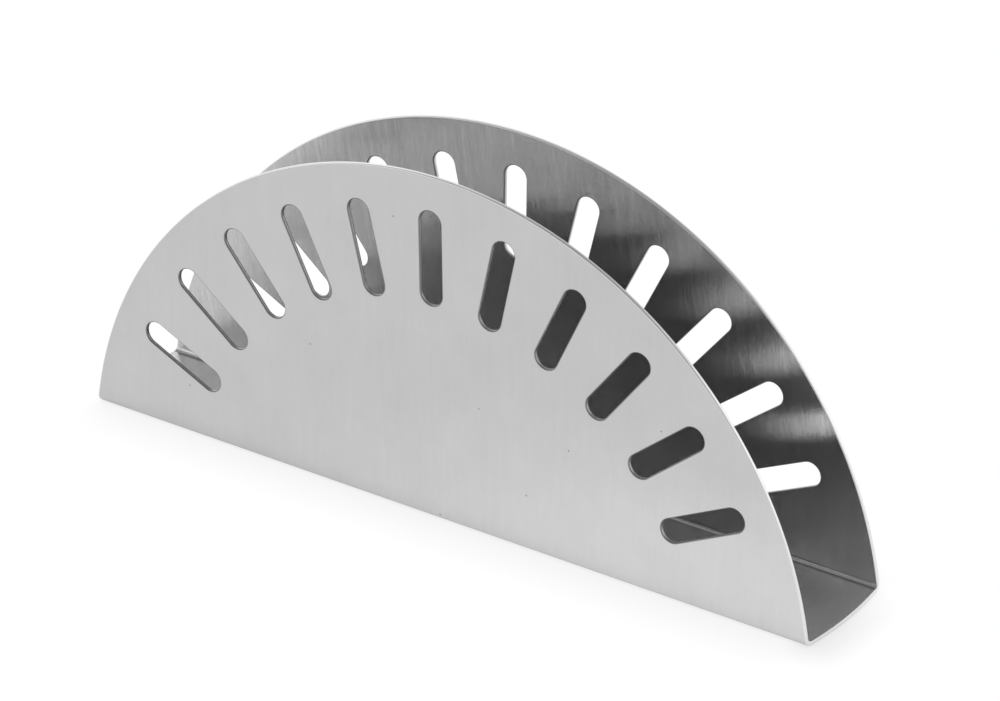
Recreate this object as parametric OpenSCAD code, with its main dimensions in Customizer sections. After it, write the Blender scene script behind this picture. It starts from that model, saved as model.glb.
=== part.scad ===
// Napkin holder folded from one round blank of brushed stainless sheet.
// The disc is bent up along two parallel lines, so it becomes two upright walls with a narrow
// strip between them to stand on. Each wall has a fan of radial slots about the disc's centre.
// X runs along the holder, the front wall faces -Y, and the origin is the middle of the underside.

/* [Sheet] */
// Diameter of the flat round blank before it is folded
disc_d = 150; // [125:1:200]
// Thickness of the sheet
sheet_t = 0.8; // [0.5:0.1:1.5]

/* [Folds] */
// Clear width between the walls, where the napkins stand
gap_w = 21.7; // [15:0.1:30]
// Radius on the inside of each fold
fold_in_r = 0.8; // [0.5:0.1:2]
// Depth of the layer that doesn't stretch in a fold, as a share of the sheet from its inside
neutral_share = 0.42; // [0.33:0.01:0.5]

/* [Slots] */
// Slots in each wall
slot_count = 11; // [3:2:11]
// Slots that this spacing would give right round the disc
slots_per_turn = 28; // [26:1:36]
// Width of a slot
slot_w = 4.4; // [2:0.1:6]
// Length of a slot over its round ends
slot_len = 17.4; // [8:0.1:24]
// Metal left between the rim and the end of each slot
slot_rim_margin = 6.4; // [3:0.1:12]
// Turn of the slot fan against the folds in degrees, because the blank went into the press a little askew
slot_turn = 0.7; // [0:0.1:2]

/* [Hidden] */
$fn = 180;
steel = [0.78, 0.78, 0.78];
// How far a cutting shape runs past what it cuts
overrun = sheet_t;

disc_r = disc_d / 2;
outer_w = gap_w + 2 * sheet_t;
fold_out_r = fold_in_r + sheet_t;
// Half the width of the flat strip, which is where each fold starts
fold_y = outer_w / 2 - fold_out_r;
// Length of blank that one fold takes up
fold_arc = (fold_in_r + neutral_share * sheet_t) * PI / 2;
// Height of the disc's centre, seen in the plane of a folded wall
disc_centre_z = fold_out_r - fold_y - fold_arc;
// Half lengths of the blank where a fold starts and where it ends
strip_end_x = sqrt(disc_r * disc_r - fold_y * fold_y);
wall_end_x = sqrt(disc_r * disc_r - pow(fold_y + fold_arc, 2));

slot_step = 360 / slots_per_turn;
slot_end_r = slot_w / 2;
slot_outer_r = disc_r - slot_rim_margin - slot_end_r;
slot_inner_r = slot_outer_r - slot_len + slot_w;

// A slot with round ends, standing on the line that runs out from the disc's centre
module slot_outline() {
    translate([-slot_end_r, slot_inner_r]) square([slot_w, slot_outer_r - slot_inner_r]);
    for (r = [slot_inner_r, slot_outer_r]) translate([0, r]) circle(r = slot_end_r);
}

module slot_fan() {
    middle = (slot_count - 1) / 2;
    for (i = [0 : slot_count - 1]) rotate(slot_turn + (middle - i) * slot_step) slot_outline();
}

// One wall as a flat shape, with the height along Y
module wall_outline() {
    difference() {
        intersection() {
            translate([0, disc_centre_z]) circle(r = disc_r);
            translate([-disc_r, fold_out_r]) square([disc_d, disc_d]);
        }
        translate([0, disc_centre_z]) slot_fan();
    }
}

module wall() {
    translate([0, sheet_t - outer_w / 2, 0])
        rotate([90, 0, 0]) linear_extrude(sheet_t) wall_outline();
}

// A quarter turn of sheet, with the height along Y
module fold_section() {
    translate([0, fold_out_r]) intersection() {
        difference() {
            circle(r = fold_out_r);
            circle(r = fold_in_r);
        }
        translate([0, -fold_out_r]) square(fold_out_r);
    }
}

// The blank narrows a little from the start of a fold to its end, so the fold's ends are cut askew
module fold_ends() {
    run = fold_out_r * sqrt(2);
    taper = (strip_end_x - wall_end_x) / run * overrun;
    low = strip_end_x + taper;
    high = wall_end_x - taper;
    rotate([45, 0, 0]) linear_extrude(2 * run + overrun, center = true)
        polygon([[-low, -overrun], [low, -overrun], [high, run + overrun], [-high, run + overrun]]);
}

module fold() {
    translate([0, fold_y, 0]) intersection() {
        translate([-disc_r, 0, 0]) rotate([90, 0, 90]) linear_extrude(disc_d) fold_section();
        fold_ends();
    }
}

module base_strip() {
    color(steel) linear_extrude(sheet_t) intersection() {
        circle(r = disc_r);
        square([disc_d, 2 * fold_y], center = true);
    }
}

module front_fold() { color(steel) rotate([0, 0, 180]) fold(); }

module rear_fold() { color(steel) fold(); }

module front_wall() { color(steel) wall(); }

module rear_wall() { color(steel) rotate([0, 0, 180]) wall(); }

base_strip();
front_fold();
rear_fold();
front_wall();
rear_wall();
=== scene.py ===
# %% [markdown]
# # A napkin holder folded from one round sheet
#
# The real object starts as a flat disc of brushed stainless steel, punched with a fan of slots and
# bent up along two parallel lines. This lesson makes it the same way. The disc is drawn flat, given
# its thickness and its softened cut edges, and folded at the end. Everything that belongs to the
# flat disc, such as the brushing, then follows the sheet round its bends as it does in metal.

# %% Load the frame
import math

import bpy
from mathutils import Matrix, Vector


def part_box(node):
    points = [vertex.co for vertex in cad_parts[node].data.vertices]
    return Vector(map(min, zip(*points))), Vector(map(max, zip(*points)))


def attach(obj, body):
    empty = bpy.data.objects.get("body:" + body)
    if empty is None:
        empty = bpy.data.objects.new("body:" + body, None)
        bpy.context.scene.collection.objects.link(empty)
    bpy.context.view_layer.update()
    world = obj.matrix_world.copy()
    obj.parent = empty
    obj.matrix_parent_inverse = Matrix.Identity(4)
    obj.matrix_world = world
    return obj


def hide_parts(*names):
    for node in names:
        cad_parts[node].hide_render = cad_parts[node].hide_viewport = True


millimetre = 0.001


def in_mm(sizes):
    """Sizes in millimetres, rounded for printing."""
    return [round(size / millimetre, 3) for size in sizes]


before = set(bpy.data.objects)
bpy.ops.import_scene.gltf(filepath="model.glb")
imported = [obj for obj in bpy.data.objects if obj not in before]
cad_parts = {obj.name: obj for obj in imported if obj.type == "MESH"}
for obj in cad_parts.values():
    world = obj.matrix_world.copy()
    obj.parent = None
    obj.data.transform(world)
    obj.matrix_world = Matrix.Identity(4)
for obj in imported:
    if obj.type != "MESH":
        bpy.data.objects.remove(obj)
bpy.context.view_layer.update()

# %% [markdown]
# ## Sizes
#
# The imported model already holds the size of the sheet, so its thickness, the folds and the blank are
# read from the boxes of the nodes. The slots, the softened edges and the turn of the brushing leave
# no mark on a box, so their few sizes are named here.

# %% Sizes from the frame
_, strip_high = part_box("base_strip")
wall_low, wall_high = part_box("front_wall")
blank_radius = strip_high.x
sheet_thickness = wall_high.y - wall_low.y
outer_half_width = -wall_low.y
strip_half_width = strip_high.y
fold_outer_radius = wall_low.z
wall_top = wall_high.z

# In the plane of a wall the blank's centre lies below the strip. Half the strip and the length of
# one fold lie between that centre and the wall's lower edge.
blank_centre_z = wall_top - blank_radius
fold_length = fold_outer_radius - strip_half_width - blank_centre_z
neutral_radius = fold_length / (math.pi / 2)
neutral_depth = fold_outer_radius - neutral_radius
print("blank radius, sheet, length in a fold, neutral radius in mm:",
      in_mm((blank_radius, sheet_thickness, fold_length, neutral_radius)))

# %% Sizes of the slots, the edges and the brushing
slot_count = 11
slots_per_turn = 28
slot_step = math.tau / slots_per_turn
slot_turn = math.radians(0.7)
slot_width = 4.4 * millimetre
slot_length = 17.4 * millimetre
slot_margin = 6.4 * millimetre
edge_radius = 0.2 * millimetre
brush_turn = math.radians(-8.5)
print("slot spacing in degrees:", round(math.degrees(slot_step), 3))

# %% [markdown]
# ## Camera
#
# A long lens from the front right, a little above. A camera is easiest to place by the point that it
# looks at, its direction round that point and its distance. The direction that points back from the
# object to the lens gives the place, and to_track_quat turns the camera's own minus Z the other way.

# %% Camera
camera_azimuth = math.radians(34.90)
camera_elevation = math.radians(27.76)
camera_distance = 806.6 * millimetre
camera_aim = Vector((5.2, 0, 29.2)) * millimetre
camera_lens = 171.7
camera_sensor_width = 36

back = Vector((
    math.sin(camera_azimuth) * math.cos(camera_elevation),
    -math.cos(camera_azimuth) * math.cos(camera_elevation),
    math.sin(camera_elevation),
))
camera = bpy.data.objects.new("camera", bpy.data.cameras.new("camera"))
bpy.context.scene.collection.objects.link(camera)
camera.data.sensor_width = camera_sensor_width
camera.data.lens = camera_lens
camera.location = camera_aim + back * camera_distance
camera.rotation_mode = "QUATERNION"
camera.rotation_quaternion = (-back).to_track_quat("-Z", "Y")
bpy.context.scene.camera = camera
bpy.context.scene.view_settings.view_transform = "Standard"
print("camera stands at, in mm:", in_mm(camera.location))

# %% [markdown]
# ## Helpers for node trees
#
# A tree of nodes is easier to read in code when each step is one call. These helpers add a node, fill
# its inputs with numbers or with another node's output, and hand back what the next step needs.

# %% Nodes and their sockets
def wire(tree, socket, value):
    """Links a socket to another node's output, or sets its value."""
    if isinstance(value, bpy.types.NodeSocket):
        tree.links.new(value, socket)
    else:
        socket.default_value = value


def node(tree, kind, values=None, **settings):
    """Adds a node with its settings, and fills the inputs that values names or numbers."""
    made = tree.nodes.new(kind)
    for name, setting in settings.items():
        setattr(made, name, setting)
    for name, value in (values or {}).items():
        wire(tree, made.inputs[name], value)
    return made


def result(tree, kind, values=None, **settings):
    """Adds a node and hands back its first output."""
    return node(tree, kind, values, **settings).outputs[0]


def interface(tree, in_out, sockets):
    """Gives a tree its named inputs or outputs."""
    for name, kind in sockets.items():
        tree.interface.new_socket(name, in_out=in_out, socket_type="NodeSocket" + kind)


# %% Arithmetic on numbers
def number(tree, operation, *values):
    """One step of arithmetic on numbers."""
    return result(tree, "ShaderNodeMath", dict(enumerate(values)), operation=operation)


def times(tree, first, *others):
    """The product of two or more numbers."""
    product = first
    for other in others:
        product = number(tree, "MULTIPLY", product, other)
    return product


def between(tree, share, first, second):
    """The first number at a share of 0, the second at 1."""
    return number(tree, "MULTIPLY_ADD", share, number(tree, "SUBTRACT", second, first), first)


def eased(tree, value, low, high):
    """0 below low, 1 above high and a soft step between them; low may be the larger one."""
    return result(tree, "ShaderNodeMapRange", {"Value": value, "From Min": low, "From Max": high},
                  interpolation_type="SMOOTHSTEP")


# %% Arithmetic on vectors
def vector(tree, operation, *values):
    """One step of arithmetic on vectors."""
    return result(tree, "ShaderNodeVectorMath", dict(enumerate(values)), operation=operation)


def scaled(tree, direction, length):
    """A vector times a number."""
    return result(tree, "ShaderNodeVectorMath", {0: direction, "Scale": length}, operation="SCALE")


def combine(tree, x=0.0, y=0.0, z=0.0):
    """A vector from three numbers."""
    return result(tree, "ShaderNodeCombineXYZ", {"X": x, "Y": y, "Z": z})


def separate(tree, value):
    """The three numbers of a vector."""
    return node(tree, "ShaderNodeSeparateXYZ", {0: value}).outputs


# %% [markdown]
# ## Floor
#
# The holder stands on a white sweep under broad soft light, so bright that the floor is pure white but
# for a narrow shadow where the sheet meets it. The floor is a large plain disc with real diffuse
# shading. On top of it comes plain light that only the camera and reflections see. It lifts the open
# floor to white without lighting anything. Metal shows mostly what stands around it, so this matters
# more here than lamps do. In reflections the floor is a little brighter at the right, from close in
# front of the holder backwards, as a floor lit from there is.

# %% Levels of the floor
floor_radius = 2.0
floor_corners = 64
floor_colour = 0.85
plain_share = 0.85
camera_floor = 1.13
metal_floor = 0.99
metal_floor_bright = 1.16
glow_across = (-60 * millimetre, 50 * millimetre)
glow_along = (-60 * millimetre, -25 * millimetre)

# %% [markdown]
# The plain light has to leave the shadow alone. Ambient Occlusion tells how closely the sheet covers a
# spot of the floor, and holds the light back there. The metal shows that shadow narrower and deeper,
# as it is right beside the fold. Just past the strip's right end lies one more soft patch of painted
# shadow, at a given place. A pair of places tells where an eased step starts and ends.

# %% Shadow of the holder
contact_reach = 12 * millimetre
contact_samples = 4
contact_shadow = 0.2
contact_shadow_in_metal = 0.8
contact_power_in_metal = 3.0
end_shadow = 0.14
end_shadow_starts = (70 * millimetre, 75 * millimetre)
end_shadow_across = (84 * millimetre, 75 * millimetre)
end_shadow_front = (-18 * millimetre, -9 * millimetre)
end_shadow_back = (14 * millimetre, -4 * millimetre)


def left_by_contact(tree, in_reflection):
    """The share of plain light that the shadow close to the sheet leaves."""
    openness = node(tree, "ShaderNodeAmbientOcclusion", {"Distance": contact_reach},
                    samples=contact_samples).outputs["AO"]
    closeness = number(tree, "SUBTRACT", 1.0, openness)
    camera_shade = times(tree, closeness, contact_shadow)
    metal_shade = times(tree, number(tree, "POWER", closeness, contact_power_in_metal),
                        contact_shadow_in_metal)
    return number(tree, "SUBTRACT", 1.0, between(tree, in_reflection, camera_shade, metal_shade))


def left_by_end(tree, x, y):
    """The share of plain light that the patch past the right end leaves."""
    past_end = times(tree, eased(tree, x, *end_shadow_starts), eased(tree, x, *end_shadow_across))
    beside_end = times(tree, eased(tree, y, *end_shadow_front), eased(tree, y, *end_shadow_back))
    return number(tree, "SUBTRACT", 1.0, times(tree, past_end, beside_end, end_shadow))


# %% Floor
def empty_material(name):
    """A new material with nothing in its tree, and that tree."""
    material = bpy.data.materials.new(name)
    material.use_nodes = True
    material.node_tree.nodes.clear()
    return material, material.node_tree


def white_floor():
    """A white sweep with the object's soft contact shadow."""
    material, tree = empty_material("white_floor")
    rays = node(tree, "ShaderNodeLightPath").outputs
    in_view = rays["Is Camera Ray"]
    in_reflection = rays["Is Glossy Ray"]
    x, y, _ = separate(tree, node(tree, "ShaderNodeTexCoord").outputs["Object"])
    at_right = times(tree, eased(tree, x, *glow_across), eased(tree, y, *glow_along))
    metal_sees = between(tree, at_right, metal_floor, metal_floor_bright)
    level = number(tree, "MAXIMUM", times(tree, in_view, camera_floor),
                   times(tree, in_reflection, metal_sees))
    unshadowed = times(tree, left_by_contact(tree, in_reflection), left_by_end(tree, x, y))
    plain = result(tree, "ShaderNodeEmission", {"Strength": times(tree, level, unshadowed)})
    shaded = result(tree, "ShaderNodeBsdfDiffuse", {"Color": (floor_colour, floor_colour, floor_colour, 1)})
    share = times(tree, number(tree, "MAXIMUM", in_view, in_reflection), plain_share)
    mixed = result(tree, "ShaderNodeMixShader", {0: share, 1: shaded, 2: plain})
    node(tree, "ShaderNodeOutputMaterial", {"Surface": mixed})
    return material


bpy.ops.mesh.primitive_circle_add(vertices=floor_corners, radius=floor_radius, fill_type="NGON")
floor = bpy.context.object
floor.name = "floor"
floor.data.materials.append(white_floor())
print("nodes in the floor:", len(floor.data.materials[0].node_tree.nodes))

# %% [markdown]
# ## Studio light
#
# The real studio has large soft panels. Area lamps could stand for them, but the metal would show
# their outlines, so the world gives all the light, in a few wide soft steps. It is dim overhead and
# brighter low down. Of the low parts, the one behind the holder is the brightest, and the front is
# brighter on the left than on the right. The camera itself sees plain white.

# %% World
overhead_level = 0.2
front_right_level = 0.6
front_left_level = 1.05
backdrop_level = 1.3
low_sky = (0.8, 0.36)
left_sky = (0.3, -0.3)
behind_sky = (0.0, 0.6)

world = bpy.data.worlds.new("studio")
world.use_nodes = True
bpy.context.scene.world = world
world_tree = world.node_tree
world_tree.nodes.clear()
sky_x, sky_y, sky_z = separate(world_tree, node(world_tree, "ShaderNodeTexCoord").outputs["Generated"])
at_left = eased(world_tree, sky_x, *left_sky)
behind = eased(world_tree, sky_y, *behind_sky)
low_down = eased(world_tree, sky_z, *low_sky)
front_level = between(world_tree, at_left, front_right_level, front_left_level)
low_level = between(world_tree, behind, front_level, backdrop_level)
studio = between(world_tree, low_down, overhead_level, low_level)
to_camera = node(world_tree, "ShaderNodeLightPath").outputs["Is Camera Ray"]
strength = between(world_tree, to_camera, studio, 1.0)
room = result(world_tree, "ShaderNodeBackground", {"Color": (1, 1, 1, 1), "Strength": strength})
node(world_tree, "ShaderNodeOutputWorld", {"Surface": room})
print("nodes in the world:", len(world_tree.nodes))

# %% [markdown]
# ## Brushed steel
#
# Stainless sheet is brushed with long fine strokes in one direction. Each stroke is a groove, so a
# reflection stays fairly sharp along the strokes and spreads wide across them. The shader's
# anisotropy does that, and its tangent has to lie across the strokes. The strokes themselves are a
# noise that is stretched far along the sheet. It is used as a bump and, faintly, in the colour.
# Both materials of the piece use it, so it is a group.

# %% Grain group
stroke_roughness = 0.6
broad_scale = 0.2
broad_detail = 2.0
broad_share = 0.4
# The strokes on one side of the sheet have nothing to do with those on the other side.
other_side_shift = 1e5


def noise(tree, place, detail, roughness=0.5):
    """A noise round a half, at the scale that the place has."""
    return result(tree, "ShaderNodeTexNoise", {
        "Vector": place, "Scale": 1.0, "Detail": detail, "Roughness": roughness,
    })


def make_grain_group():
    """Fine parallel strokes: their height, and a tone round zero that varies from stroke to stroke."""
    tree = bpy.data.node_groups.new("grain", "ShaderNodeTree")
    interface(tree, "INPUT", {"Place": "Vector", "Width": "Float", "Length": "Float", "Detail": "Float"})
    interface(tree, "OUTPUT", {"Height": "Float", "Tone": "Float"})
    inputs = node(tree, "NodeGroupInput").outputs
    x, y, z = separate(tree, inputs["Place"])
    stretched = combine(tree, number(tree, "DIVIDE", x, inputs["Width"]),
                        number(tree, "DIVIDE", y, inputs["Length"]), times(tree, z, other_side_shift))
    strokes = noise(tree, stretched, inputs["Detail"], stroke_roughness)
    broad = noise(tree, scaled(tree, stretched, broad_scale), broad_detail)
    tone = number(tree, "SUBTRACT", between(tree, broad_share, strokes, broad), 0.5)
    node(tree, "NodeGroupOutput", {"Height": strokes, "Tone": tone})
    return tree


grain_group = make_grain_group()
print("nodes in the grain group:", len(grain_group.nodes))


def grain(tree, place, width, length, detail):
    """The outputs of one scale of strokes."""
    return node(tree, "ShaderNodeGroup", {
        "Place": place, "Width": width, "Length": length, "Detail": detail,
    }, node_tree=grain_group).outputs


# %% [markdown]
# The sheet has also been handled. Wiping leaves faint wide clouds, and here and there is a tiny dark
# speck. A soft noise makes the clouds. The specks come from Voronoi cells: each cell has one point
# to put a speck on, and only a small share of the cells gets one, so specks stay rare and apart.

# %% Marks group
cloud_detail = 4.0
cloud_roughness = 0.6


def make_marks_group():
    """Faint clouds from handling as a tone round zero, and a mask of a few tiny specks."""
    tree = bpy.data.node_groups.new("marks", "ShaderNodeTree")
    interface(tree, "INPUT", {"Place": "Vector", "Cloud Size": "Float",
                              "Speck Size": "Float", "Speck Spacing": "Float", "Speck Share": "Float"})
    interface(tree, "OUTPUT", {"Cloud": "Float", "Speck": "Float"})
    inputs = node(tree, "NodeGroupInput").outputs
    cloud_place = scaled(tree, inputs["Place"], number(tree, "DIVIDE", 1.0, inputs["Cloud Size"]))
    cloud = noise(tree, cloud_place, cloud_detail, cloud_roughness)
    cell_place = scaled(tree, inputs["Place"], number(tree, "DIVIDE", 1.0, inputs["Speck Spacing"]))
    cells = node(tree, "ShaderNodeTexVoronoi", {"Vector": cell_place, "Scale": 1.0},
                 voronoi_dimensions="2D").outputs
    reach = number(tree, "DIVIDE", inputs["Speck Size"], inputs["Speck Spacing"])
    inside = eased(tree, cells["Distance"], reach, 0.0)
    chosen = number(tree, "LESS_THAN", separate(tree, cells["Color"])[0], inputs["Speck Share"])
    node(tree, "NodeGroupOutput", {
        "Cloud": number(tree, "SUBTRACT", cloud, 0.5), "Speck": times(tree, inside, chosen),
    })
    return tree


marks_group = make_marks_group()
print("nodes in the marks group:", len(marks_group.nodes))

# %% [markdown]
# Each fold was pressed round the edge of a tool, which leaves short fine scuffs on its inner side.
# A lighter line along the inside of each fold is a painted highlight. Both run along the fold, so the
# place on the flat blank is all that they need: a point's distance from the strip, as a share of the
# fold's length, tells where it lies in the fold.

# %% Press marks and a painted highlight
# Shares of the way from the strip to the wall: where the marks fade in and out, and the place of the
# painted highlight line.
marked_from = (-0.15, 0.05)
marked_to = (1.1, 0.9)
# The lighter line along the inside of each fold is a painted highlight.
highlight_line = 0.36
highlight_half_width = 0.18
highlight_tone = 0.6
scuff_width = 0.16 * millimetre
scuff_length = 3 * millimetre
scuff_detail = 2.0
scuff_tone = 0.7


def on_inner_side(tree, depth, middle):
    """1 on the upper half of the flat sheet, which becomes its inner side, and 0 on the lower one."""
    return number(tree, "GREATER_THAN", depth, middle)


def fold_scuffs_and_highlight(tree, place):
    """A painted highlight line and fine scuffs along each fold, on the inner side, as a tone round zero."""
    x, y, depth = separate(tree, place)
    from_strip = number(tree, "SUBTRACT", number(tree, "ABSOLUTE", y), strip_half_width)
    along_fold = number(tree, "DIVIDE", from_strip, fold_length)
    in_fold = times(tree, eased(tree, along_fold, *marked_from), eased(tree, along_fold, *marked_to))
    off_line = number(tree, "ABSOLUTE", number(tree, "SUBTRACT", along_fold, highlight_line))
    line = eased(tree, off_line, highlight_half_width, 0.0)
    scuff_place = combine(tree, number(tree, "DIVIDE", x, scuff_length),
                          number(tree, "DIVIDE", y, scuff_width))
    scuffs = number(tree, "SUBTRACT", noise(tree, scuff_place, scuff_detail), 0.5)
    tone = number(tree, "MULTIPLY_ADD", line, highlight_tone, times(tree, scuffs, scuff_tone))
    return times(tree, tone, in_fold, on_inner_side(tree, depth, sheet_thickness / 2))


# The line printed here is the painted highlight along each fold.
highlight_from_middle = strip_half_width + highlight_line * fold_length
print("the burnished line lies", round(highlight_from_middle / millimetre, 2), "mm from the middle")

# %% [markdown]
# The brushing works at two scales. Strokes far finer than a pixel can't be seen one by one: all they
# do is spread a reflection sideways, more than the shader's own anisotropy can. The wider strokes
# are shallow, and show as faint streaks, plainer on the inner side, where no final polish could reach.
# Clouds and specks only tint.

# %% Brushed face
steel_grey = 0.62
face_roughness = 0.178
fine_width = 0.06 * millimetre
fine_depth = 0.016 * millimetre
fine_length = 12 * millimetre
fine_detail = 1.0
seen_width = 0.26 * millimetre
seen_depth = 0.012 * millimetre
seen_length = 3.5 * millimetre
seen_detail = 3.0
outer_tone = 0.11
inner_tone = 0.7
cloud_size = 14 * millimetre
cloud_tone = 0.15
speck_size = 0.24 * millimetre
speck_spacing = 9 * millimetre
speck_share = 0.12
speck_tone = 0.7


def stored_place(tree, name):
    """A place that the mesh carries under a name."""
    return node(tree, "ShaderNodeAttribute", attribute_name=name).outputs["Vector"]


def grey_colour(tree, brightness):
    """A neutral colour from a number."""
    return result(tree, "ShaderNodeCombineColor", {0: brightness, 1: brightness, 2: brightness})


def bumped(tree, height):
    """The surface's direction with a height in metres on it."""
    return result(tree, "ShaderNodeBump", {"Strength": 1.0, "Distance": 1.0, "Height": height})


def face_tone(tree, place, seen):
    """How much brighter or darker than the plain steel each spot is: streaks, clouds, specks, scuffs and a
    painted highlight along the folds.
    """
    mark = node(tree, "ShaderNodeGroup", {
        "Place": place, "Cloud Size": cloud_size,
        "Speck Size": speck_size, "Speck Spacing": speck_spacing, "Speck Share": speck_share,
    }, node_tree=marks_group).outputs
    inner = on_inner_side(tree, separate(tree, place)[2], sheet_thickness / 2)
    clouds = times(tree, mark["Cloud"], cloud_tone)
    tone = number(tree, "MULTIPLY_ADD", seen["Tone"], between(tree, inner, outer_tone, inner_tone), clouds)
    tone = number(tree, "MULTIPLY_ADD", mark["Speck"], -speck_tone, tone)
    return number(tree, "ADD", tone, fold_scuffs_and_highlight(tree, stored_place(tree, "blank_place")))


def brushed_steel():
    """Brushed steel, with strokes along the Y of the brushed place."""
    material, tree = empty_material("brushed_face")
    place = stored_place(tree, "brushed_place")
    fine = grain(tree, place, fine_width, fine_length, fine_detail)
    seen = grain(tree, place, seen_width, seen_length, seen_detail)
    brightness = number(tree, "MULTIPLY_ADD", face_tone(tree, place, seen), steel_grey, steel_grey)
    height = number(tree, "MULTIPLY_ADD", fine["Height"], fine_depth,
                    times(tree, seen["Height"], seen_depth))
    across_strokes = result(tree, "ShaderNodeTangent", direction_type="UV_MAP", uv_map="brushed_map")
    shader = result(tree, "ShaderNodeBsdfPrincipled", {
        "Base Color": grey_colour(tree, brightness), "Metallic": 1.0,
        "Roughness": face_roughness, "Anisotropic": 1.0,
        "Normal": bumped(tree, height), "Tangent": across_strokes,
    })
    node(tree, "ShaderNodeOutputMaterial", {"Surface": shader})
    return material


brushed_face = brushed_steel()
print("nodes in the brushed face:", len(brushed_face.node_tree.nodes))

# %% [markdown]
# The cut edges differ. The rim was trimmed and polished, and its grey is lifted above the steel's as a
# painted highlight. The slots were punched. A punched wall has a rolled-over corner where the punch
# went in, then a bright burnished band, and below that the metal tore and stays rough and dull. That
# torn band's dark grey is partly the dull torn metal and partly painted shade inside the slot. The
# bands follow the depth in the sheet, as a share of its thickness, and the distance from the blank's
# centre tells the rim from the slots.

# %% Cut edges
rim_zone = (blank_radius - 3 * millimetre, blank_radius - 2 * millimetre)
# The rim's grey, lighter than the steel's, is a painted highlight.
rim_grey_with_highlight = 0.76
rim_roughness = 0.3
slot_roughness = 0.45
burnished_from = (0.15, 0.3)
burnished_to = (0.7, 0.55)
burnished_grey = 0.62
# The torn band's dark grey is partly the dull torn metal and partly painted shade in the slot.
torn_and_shaded_grey = 0.27
grit_size = 0.15 * millimetre
grit_detail = 2.0
grit_depth = 0.004 * millimetre
grit_tone = 0.15


def cut_steel():
    """A rim with a painted highlight, and punched walls in the slots whose torn band is partly painted
    shade.
    """
    material, tree = empty_material("cut_edge")
    place = stored_place(tree, "blank_place")
    x, y, depth = separate(tree, place)
    from_centre = number(tree, "SQRT", number(tree, "MULTIPLY_ADD", x, x, times(tree, y, y)))
    on_rim = eased(tree, from_centre, *rim_zone)
    share_of_depth = number(tree, "DIVIDE", depth, sheet_thickness)
    burnished = times(tree, eased(tree, share_of_depth, *burnished_from),
                      eased(tree, share_of_depth, *burnished_to))
    grit = grain(tree, place, grit_size, grit_size, grit_detail)
    slot_grey_and_shade = between(tree, burnished, torn_and_shaded_grey, burnished_grey)
    edge_grey_with_painted_light = between(tree, on_rim, slot_grey_and_shade, rim_grey_with_highlight)
    brightness = number(tree, "MULTIPLY_ADD", grit["Tone"], grit_tone, edge_grey_with_painted_light)
    shader = result(tree, "ShaderNodeBsdfPrincipled", {
        "Base Color": grey_colour(tree, brightness), "Metallic": 1.0,
        "Roughness": between(tree, on_rim, slot_roughness, rim_roughness),
        "Normal": bumped(tree, times(tree, grit["Height"], grit_depth)),
    })
    node(tree, "ShaderNodeOutputMaterial", {"Surface": shader})
    return material


cut_edge = cut_steel()
print("nodes in the cut edge:", len(cut_edge.node_tree.nodes))

# %% [markdown]
# ## The flat blank
#
# The tree draws the disc flat, with its inner face up. A wall is an arc closed by a straight line,
# less its slots, and Fill Curve makes a face of it that leaves the slots open. The second wall is
# the same one turned half round. The outline is drawn smaller by the radius of the softened edge,
# and the slots wider, because that edge is added afterwards.

# %% Start of the tree
sheet_tree = bpy.data.node_groups.new("folded_blank", "GeometryNodeTree")
sizes = {
    "Blank Radius": blank_radius,
    "Sheet Thickness": sheet_thickness,
    "Edge Radius": edge_radius,
    "Strip Half Width": strip_half_width,
    "Fold Length": fold_length,
    "Outer Half Width": outer_half_width,
    "Neutral Radius": neutral_radius,
    "Neutral Depth": neutral_depth,
    "Wall Top": wall_top,
    "Slot Step": slot_step,
    "Slot Turn": slot_turn,
    "Slot Width": slot_width,
    "Slot Length": slot_length,
    "Slot Margin": slot_margin,
    "Brush Turn": brush_turn,
}
other_inputs = {"Slot Count": "Int", "Face Material": "Material", "Edge Material": "Material"}
interface(sheet_tree, "INPUT", {name: "Float" for name in sizes})
interface(sheet_tree, "INPUT", other_inputs)
interface(sheet_tree, "OUTPUT", {"Geometry": "Geometry"})
given = node(sheet_tree, "NodeGroupInput").outputs
at = result(sheet_tree, "GeometryNodeInputPosition")
flat_x, flat_y, flat_z = separate(sheet_tree, at)
print("inputs of the tree:", len(sizes) + len(other_inputs))

# %% Middles of the slots
index = result(sheet_tree, "GeometryNodeInputIndex")
middle_index = number(sheet_tree, "DIVIDE", number(sheet_tree, "SUBTRACT", given["Slot Count"], 1.0), 2.0)
steps = number(sheet_tree, "SUBTRACT", index, middle_index)
fan_angle = number(sheet_tree, "MULTIPLY_ADD", steps, given["Slot Step"], given["Slot Turn"])
slot_end = number(sheet_tree, "SUBTRACT", given["Blank Radius"], given["Slot Margin"])
half_slot = number(sheet_tree, "DIVIDE", given["Slot Length"], 2.0)
fan_radius = number(sheet_tree, "SUBTRACT", slot_end, half_slot)
fan_direction = combine(sheet_tree, number(sheet_tree, "SINE", fan_angle),
                        number(sheet_tree, "COSINE", fan_angle))
fan_points = result(sheet_tree, "GeometryNodePoints", {
    "Count": given["Slot Count"], "Position": scaled(sheet_tree, fan_direction, fan_radius),
})
print("ends of the fan, in degrees:",
      [round(math.degrees(slot_turn + side * slot_step * (slot_count - 1) / 2), 2) for side in (-1, 1)])

# %% Fan of slots
slot_corner_points = 14
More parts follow.
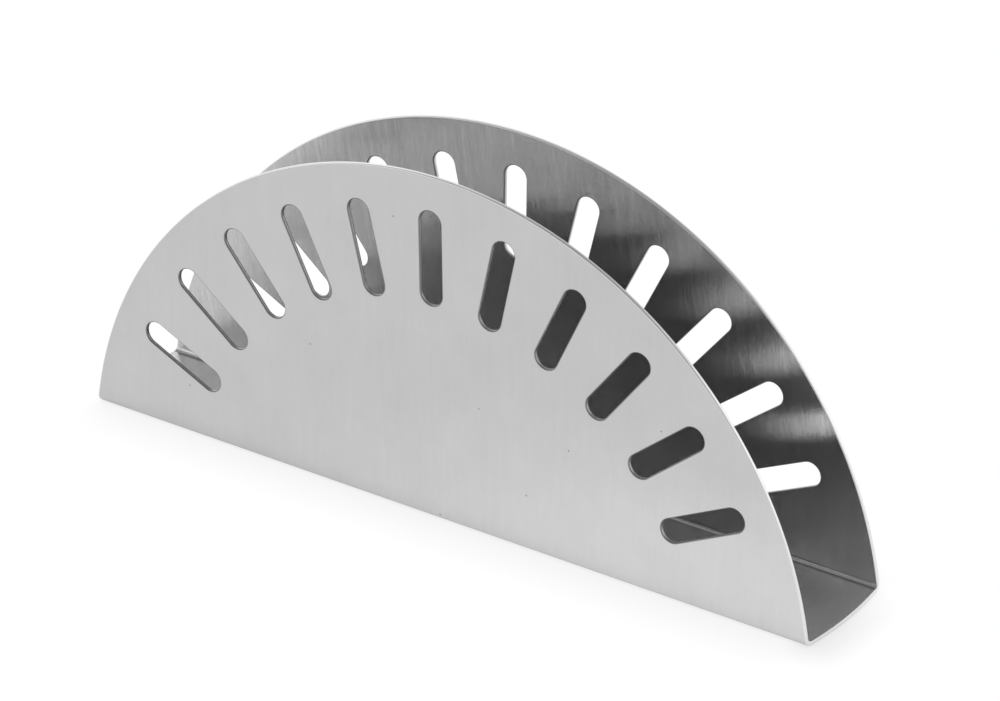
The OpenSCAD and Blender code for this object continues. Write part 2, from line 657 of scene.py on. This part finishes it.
# A corner radius of just under half the width keeps two points from falling on one another.
slot_corner_share = 0.998
drawn_width = number(sheet_tree, "MULTIPLY_ADD", given["Edge Radius"], 2.0, given["Slot Width"])
drawn_length = number(sheet_tree, "MULTIPLY_ADD", given["Edge Radius"], 2.0, given["Slot Length"])
slot_box = result(sheet_tree, "GeometryNodeCurvePrimitiveQuadrilateral",
                  {"Width": drawn_width, "Height": drawn_length}, mode="RECTANGLE")
slot_outline = result(sheet_tree, "GeometryNodeFilletCurve", {
    "Curve": slot_box,
    "Count": slot_corner_points,
    "Radius": times(sheet_tree, drawn_width, slot_corner_share / 2),
    "Limit Radius": True,
}, mode="POLY")
slots = result(sheet_tree, "GeometryNodeInstanceOnPoints", {
    "Points": fan_points,
    "Instance": slot_outline,
    "Rotation": combine(sheet_tree, z=times(sheet_tree, fan_angle, -1.0)),
})
loose_slots = result(sheet_tree, "GeometryNodeRealizeInstances", {0: slots})
print("slot as drawn, in mm:", in_mm((slot_width + 2 * edge_radius, slot_length + 2 * edge_radius)))

# %% Face of one wall
wall_arc_points = 260
drawn_radius = number(sheet_tree, "SUBTRACT", given["Blank Radius"], given["Edge Radius"])
fold_end = number(sheet_tree, "ADD", given["Strip Half Width"], given["Fold Length"])
arc_start = number(sheet_tree, "ARCSINE", number(sheet_tree, "DIVIDE", fold_end, drawn_radius))
wall_arc = result(sheet_tree, "GeometryNodeCurveArc", {
    "Resolution": wall_arc_points,
    "Radius": drawn_radius,
    "Start Angle": arc_start,
    "Sweep Angle": number(sheet_tree, "SUBTRACT", math.pi, times(sheet_tree, arc_start, 2.0)),
}, mode="RADIUS")
wall_outline = result(sheet_tree, "GeometryNodeSetSplineCyclic", {0: wall_arc, "Cyclic": True})
wall_curves = node(sheet_tree, "GeometryNodeJoinGeometry")
wire(sheet_tree, wall_curves.inputs[0], loose_slots)
wire(sheet_tree, wall_curves.inputs[0], wall_outline)
wall_face = result(sheet_tree, "GeometryNodeFillCurve", {0: wall_curves.outputs[0]}, mode="TRIANGLES")
other_wall_face = result(sheet_tree, "GeometryNodeTransform",
                         {"Geometry": wall_face, "Rotation": (0, 0, math.pi)})
print("points along each rim:", wall_arc_points)

# %% [markdown]
# The middle of the disc has to bend, so it is cut into rows along the fold lines: close rows where a
# fold will be, wider ones on the flat strip. A grid with one row per unit of height gives the rows.
# Each row is then moved to its distance from the middle, and its ends go out to the disc's rim.

# %% Rows across the strip and the folds
rows_in_strip = 24
rows_in_fold = 16
rows = rows_in_strip + 2 * rows_in_fold
row_grid = result(sheet_tree, "GeometryNodeMeshGrid",
                  {"Size X": 2.0, "Size Y": float(rows), "Vertices X": 2, "Vertices Y": rows + 1})
row = number(sheet_tree, "ABSOLUTE", flat_y)
half_strip_rows = rows_in_strip / 2
strip_row = number(sheet_tree, "MINIMUM", row, half_strip_rows)
strip_row_width = number(sheet_tree, "DIVIDE", given["Strip Half Width"], half_strip_rows)
fold_row = number(sheet_tree, "MAXIMUM", number(sheet_tree, "SUBTRACT", row, half_strip_rows), 0.0)
fold_row_width = number(sheet_tree, "DIVIDE", given["Fold Length"], float(rows_in_fold))
row_distance = number(sheet_tree, "MULTIPLY_ADD", fold_row, fold_row_width,
                      times(sheet_tree, strip_row, strip_row_width))
print("rows across the strip and the folds:", rows)

# %% Ends of the rows
row_half_length = number(sheet_tree, "SQRT", number(
    sheet_tree, "SUBTRACT",
    number(sheet_tree, "POWER", drawn_radius, 2.0), number(sheet_tree, "POWER", row_distance, 2.0)))
row_place = combine(sheet_tree, times(sheet_tree, flat_x, row_half_length),
                    times(sheet_tree, number(sheet_tree, "SIGN", flat_y), row_distance))
row_faces = result(sheet_tree, "GeometryNodeSetPosition", {"Geometry": row_grid, "Position": row_place})

# %% The whole face of the blank
weld_distance = 0.002 * millimetre


def joined(*parts):
    """Several meshes as one, with their doubled points welded."""
    together = node(sheet_tree, "GeometryNodeJoinGeometry")
    for part in parts:
        wire(sheet_tree, together.inputs[0], part)
    return result(sheet_tree, "GeometryNodeMergeByDistance",
                  {"Geometry": together.outputs[0], "Distance": weld_distance})


face = joined(wall_face, other_wall_face, row_faces)

# %% [markdown]
# ## Thickness and cut edges
#
# The sheet was blanked and then deburred, so each cut edge has two tiny rounded corners. A bevel
# would stumble over the long thin triangles of the filled walls. Instead the outline of the lower
# face is pulled out in small steps that follow the rounded profile, up to the upper face. Which way
# is out differs at each point of the outline, and a short band raised on it tells. The band's
# normals come out pointing into the metal, so they are turned round. Each ring also stores the
# normal that the true round has.

# %% Values on the mesh
def stored(geometry, name, value, data_type, domain="POINT", selection=True):
    """Writes a value on the mesh under a name."""
    return result(sheet_tree, "GeometryNodeStoreNamedAttribute", {
        "Geometry": geometry, "Selection": selection, "Name": name, "Value": value,
    }, data_type=data_type, domain=domain)


def recalled(name, data_type="FLOAT_VECTOR"):
    """Reads back a value that was written on the mesh."""
    return result(sheet_tree, "GeometryNodeInputNamedAttribute", {"Name": name}, data_type=data_type)


# %% Which way is out
# An edge with only one face lies on the outline.
faces_at_edge = result(sheet_tree, "GeometryNodeInputMeshEdgeNeighbors")
one_face = node(sheet_tree, "FunctionNodeCompare", {"A": faces_at_edge}, data_type="INT", operation="EQUAL")
wire(sheet_tree, next(s for s in one_face.inputs if s.enabled and s.name == "B"), 1)
outline = one_face.outputs[0]
lower_face = result(sheet_tree, "GeometryNodeFlipFaces", {0: face})
raised = node(sheet_tree, "GeometryNodeExtrudeMesh", {
    "Mesh": lower_face, "Selection": outline,
    "Offset": (0, 0, 1), "Offset Scale": given["Sheet Thickness"],
}, mode="EDGES").outputs
band = result(sheet_tree, "GeometryNodeSeparateGeometry",
              {"Geometry": raised["Mesh"], "Selection": raised["Side"]}, domain="FACE")
band_normal = result(sheet_tree, "GeometryNodeSampleIndex", {
    "Geometry": band,
    "Value": result(sheet_tree, "GeometryNodeInputNormal"),
    "Index": result(sheet_tree, "GeometryNodeSampleNearest", {"Geometry": band}),
}, data_type="FLOAT_VECTOR")
edge_body = stored(lower_face, "outwards", scaled(sheet_tree, band_normal, -1.0), "FLOAT_VECTOR")
edge_body = stored(edge_body, "flat_normal", (0, 0, -1), "FLOAT_VECTOR")
edge_body = stored(edge_body, "is_cut", False, "BOOLEAN", "FACE")

# %% Profile of the cut edge
steps_in_corner = 3
quarter = [math.pi / 2 * step / steps_in_corner for step in range(steps_in_corner + 1)]
# Each entry is how far out and up the profile is, both in edge radii, the upward part of its normal,
# and whether it belongs to the upper corner.
lower_corner = [(math.sin(turn), 1 - math.cos(turn), -math.cos(turn), False) for turn in quarter]
upper_corner = [(math.cos(turn), math.sin(turn) - 1, math.sin(turn), True) for turn in quarter]
profile = lower_corner + upper_corner
print("rings on each cut edge:", len(profile) - 1)

# %% Rings of the cut edge
outwards = recalled("outwards")
last_out, last_up, _, last_past = profile[0]
selection = outline
for out, up, normal_up, past in profile[1:]:
    rise = times(sheet_tree, given["Edge Radius"], up - last_up)
    if past and not last_past:
        rise = number(sheet_tree, "ADD", rise, given["Sheet Thickness"])
    push = times(sheet_tree, given["Edge Radius"], out - last_out)
    step = vector(sheet_tree, "ADD", scaled(sheet_tree, outwards, push), combine(sheet_tree, z=rise))
    ring = node(sheet_tree, "GeometryNodeExtrudeMesh", {
        "Mesh": edge_body, "Selection": selection, "Offset": step, "Offset Scale": 1.0,
    }, mode="EDGES").outputs
    normal = vector(sheet_tree, "ADD",
                    scaled(sheet_tree, outwards, math.sqrt(1 - normal_up ** 2)), (0, 0, normal_up))
    selection = ring["Top"]
    edge_body = stored(ring["Mesh"], "flat_normal", normal, "FLOAT_VECTOR", selection=selection)
    edge_body = stored(edge_body, "is_cut", True, "BOOLEAN", "FACE", ring["Side"])
    last_out, last_up, last_past = out, up, past

# %% The closed flat sheet
upper_face = result(sheet_tree, "GeometryNodeTransform",
                    {"Geometry": face, "Translation": combine(sheet_tree, z=given["Sheet Thickness"])})
upper_face = stored(upper_face, "flat_normal", (0, 0, 1), "FLOAT_VECTOR")
upper_face = stored(upper_face, "is_cut", False, "BOOLEAN", "FACE")
slab = joined(edge_body, upper_face)
slab = stored(slab, "blank_place", at, "FLOAT_VECTOR")

# %% [markdown]
# Each side of the flat sheet was brushed by itself. The outer side's strokes run along Y, and the
# inner side's stand a little askew. The place that the brushing follows is written on the mesh while
# the sheet is still flat, so the strokes stay on the metal when it folds. A map of the same place
# goes with it, because the shader's tangent can only follow a map.

# %% Direction of the brushing
half_thickness = number(sheet_tree, "DIVIDE", given["Sheet Thickness"], 2.0)
turn_here = times(sheet_tree, on_inner_side(sheet_tree, flat_z, half_thickness), given["Brush Turn"])
brushed_place = result(sheet_tree, "ShaderNodeVectorRotate", {"Vector": at, "Angle": turn_here},
                       rotation_type="Z_AXIS")
slab = stored(slab, "brushed_place", brushed_place, "FLOAT_VECTOR")
map_scale = number(sheet_tree, "DIVIDE", 0.5, given["Blank Radius"])
brushed_map = vector(sheet_tree, "ADD", scaled(sheet_tree, brushed_place, map_scale), (0.5, 0.5, 0))
slab = stored(slab, "brushed_map", brushed_map, "FLOAT2", "CORNER")

# %% [markdown]
# ## The folds
#
# Where a sheet bends, its outside stretches and its inside shrinks, and one layer between them keeps
# its length. That layer's path across the holder is a U with two rounded corners. Each point of the
# flat sheet looks up its distance from the middle on this path, and keeps its depth from that layer
# along the path's normal. Fillet Curve rounds the corners, so no arithmetic on arcs is needed.

# %% Path of the layer that keeps its length
fold_path_points = 32
path_over_rim = 5 * millimetre
path_y = number(sheet_tree, "SUBTRACT", given["Outer Half Width"], given["Neutral Depth"])
path_top = number(sheet_tree, "ADD", given["Wall Top"], path_over_rim)
minus_path_y = times(sheet_tree, path_y, -1.0)
corners = result(sheet_tree, "GeometryNodeCurvePrimitiveQuadrilateral", {
    "Point 1": combine(sheet_tree, y=minus_path_y, z=path_top),
    "Point 2": combine(sheet_tree, y=minus_path_y, z=given["Neutral Depth"]),
    "Point 3": combine(sheet_tree, y=path_y, z=given["Neutral Depth"]),
    "Point 4": combine(sheet_tree, y=path_y, z=path_top),
}, mode="POINTS")
open_path = result(sheet_tree, "GeometryNodeSetSplineCyclic", {0: corners, "Cyclic": False})
fold_path = result(sheet_tree, "GeometryNodeFilletCurve", {
    "Curve": open_path, "Count": fold_path_points,
    "Radius": given["Neutral Radius"], "Limit Radius": False,
}, mode="POLY")
path_length = result(sheet_tree, "GeometryNodeCurveLength", {0: fold_path})
half_path = number(sheet_tree, "DIVIDE", path_length, 2.0)

# %% Fold
lookup = node(sheet_tree, "GeometryNodeSampleCurve", {
    "Curves": fold_path, "Length": number(sheet_tree, "ADD", half_path, flat_y),
}, mode="LENGTH").outputs
run = vector(sheet_tree, "NORMALIZE", lookup["Tangent"])
inward = vector(sheet_tree, "CROSS_PRODUCT", (1, 0, 0), run)
depth = number(sheet_tree, "SUBTRACT", flat_z, given["Neutral Depth"])
on_path = vector(sheet_tree, "ADD", lookup["Position"], combine(sheet_tree, x=flat_x))
folded_place = vector(sheet_tree, "ADD", on_path, scaled(sheet_tree, inward, depth))

# %% Normals of the folded sheet
normal_x, normal_y, normal_z = separate(sheet_tree, recalled("flat_normal"))
in_sheet = vector(sheet_tree, "ADD", combine(sheet_tree, x=normal_x), scaled(sheet_tree, run, normal_y))
folded_normal = vector(sheet_tree, "ADD", in_sheet, scaled(sheet_tree, inward, normal_z))
slab = stored(slab, "folded_normal", folded_normal, "FLOAT_VECTOR")
folded = result(sheet_tree, "GeometryNodeSetPosition", {"Geometry": slab, "Position": folded_place})
folded = result(sheet_tree, "GeometryNodeSetShadeSmooth", {"Geometry": folded, "Shade Smooth": True})
folded = result(sheet_tree, "GeometryNodeSetMeshNormal", {
    "Mesh": folded, "Custom Normal": recalled("folded_normal"),
}, mode="FREE", domain="POINT")
for spare in ("outwards", "flat_normal", "folded_normal"):
    folded = result(sheet_tree, "GeometryNodeRemoveAttribute", {"Geometry": folded, "Name": spare})

# %% End of the tree
single = result(sheet_tree, "GeometryNodeRealizeInstances", {0: folded})
faced = result(sheet_tree, "GeometryNodeSetMaterial",
               {"Geometry": single, "Material": given["Face Material"]})
finished = result(sheet_tree, "GeometryNodeSetMaterial", {
    "Geometry": faced, "Selection": recalled("is_cut", "BOOLEAN"), "Material": given["Edge Material"],
})
node(sheet_tree, "NodeGroupOutput", {"Geometry": finished})
print("nodes in the tree:", len(sheet_tree.nodes))

# %% [markdown]
# ## From tree to mesh
#
# The tree runs as a modifier on an empty mesh. Its inputs are set by their identifiers, and
# new_from_object takes the finished mesh off it, so the piece itself is a plain mesh.

# %% Run the tree
values = dict(sizes)
values.update({"Slot Count": slot_count, "Face Material": brushed_face, "Edge Material": cut_edge})
maker = bpy.data.objects.new("maker", bpy.data.meshes.new("maker"))
bpy.context.scene.collection.objects.link(maker)
modifier = maker.modifiers.new("folded_blank", "NODES")
modifier.node_group = sheet_tree
for item in sheet_tree.interface.items_tree:
    if item.in_out == "INPUT":
        modifier[item.identifier] = values[item.name]
evaluated = maker.evaluated_get(bpy.context.evaluated_depsgraph_get())
sheet_mesh = bpy.data.meshes.new_from_object(evaluated)
bpy.data.objects.remove(maker)

# %% The folded sheet
sheet_mesh.name = "folded_sheet"
# The mesh may come with an empty first slot for a material, which nothing uses.
if sheet_mesh.materials[0] is None:
    sheet_mesh.materials.pop(index=0)
folded_sheet = bpy.data.objects.new("folded_sheet", sheet_mesh)
bpy.context.scene.collection.objects.link(folded_sheet)
print("sheet:", len(sheet_mesh.vertices), "points,", len(sheet_mesh.polygons), "faces,",
      "materials", [material.name for material in sheet_mesh.materials])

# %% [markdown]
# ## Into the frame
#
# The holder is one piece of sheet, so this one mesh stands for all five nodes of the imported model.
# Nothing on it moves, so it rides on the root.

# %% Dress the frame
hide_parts("base_strip", "front_fold", "rear_fold", "front_wall", "rear_wall")
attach(folded_sheet, "root")
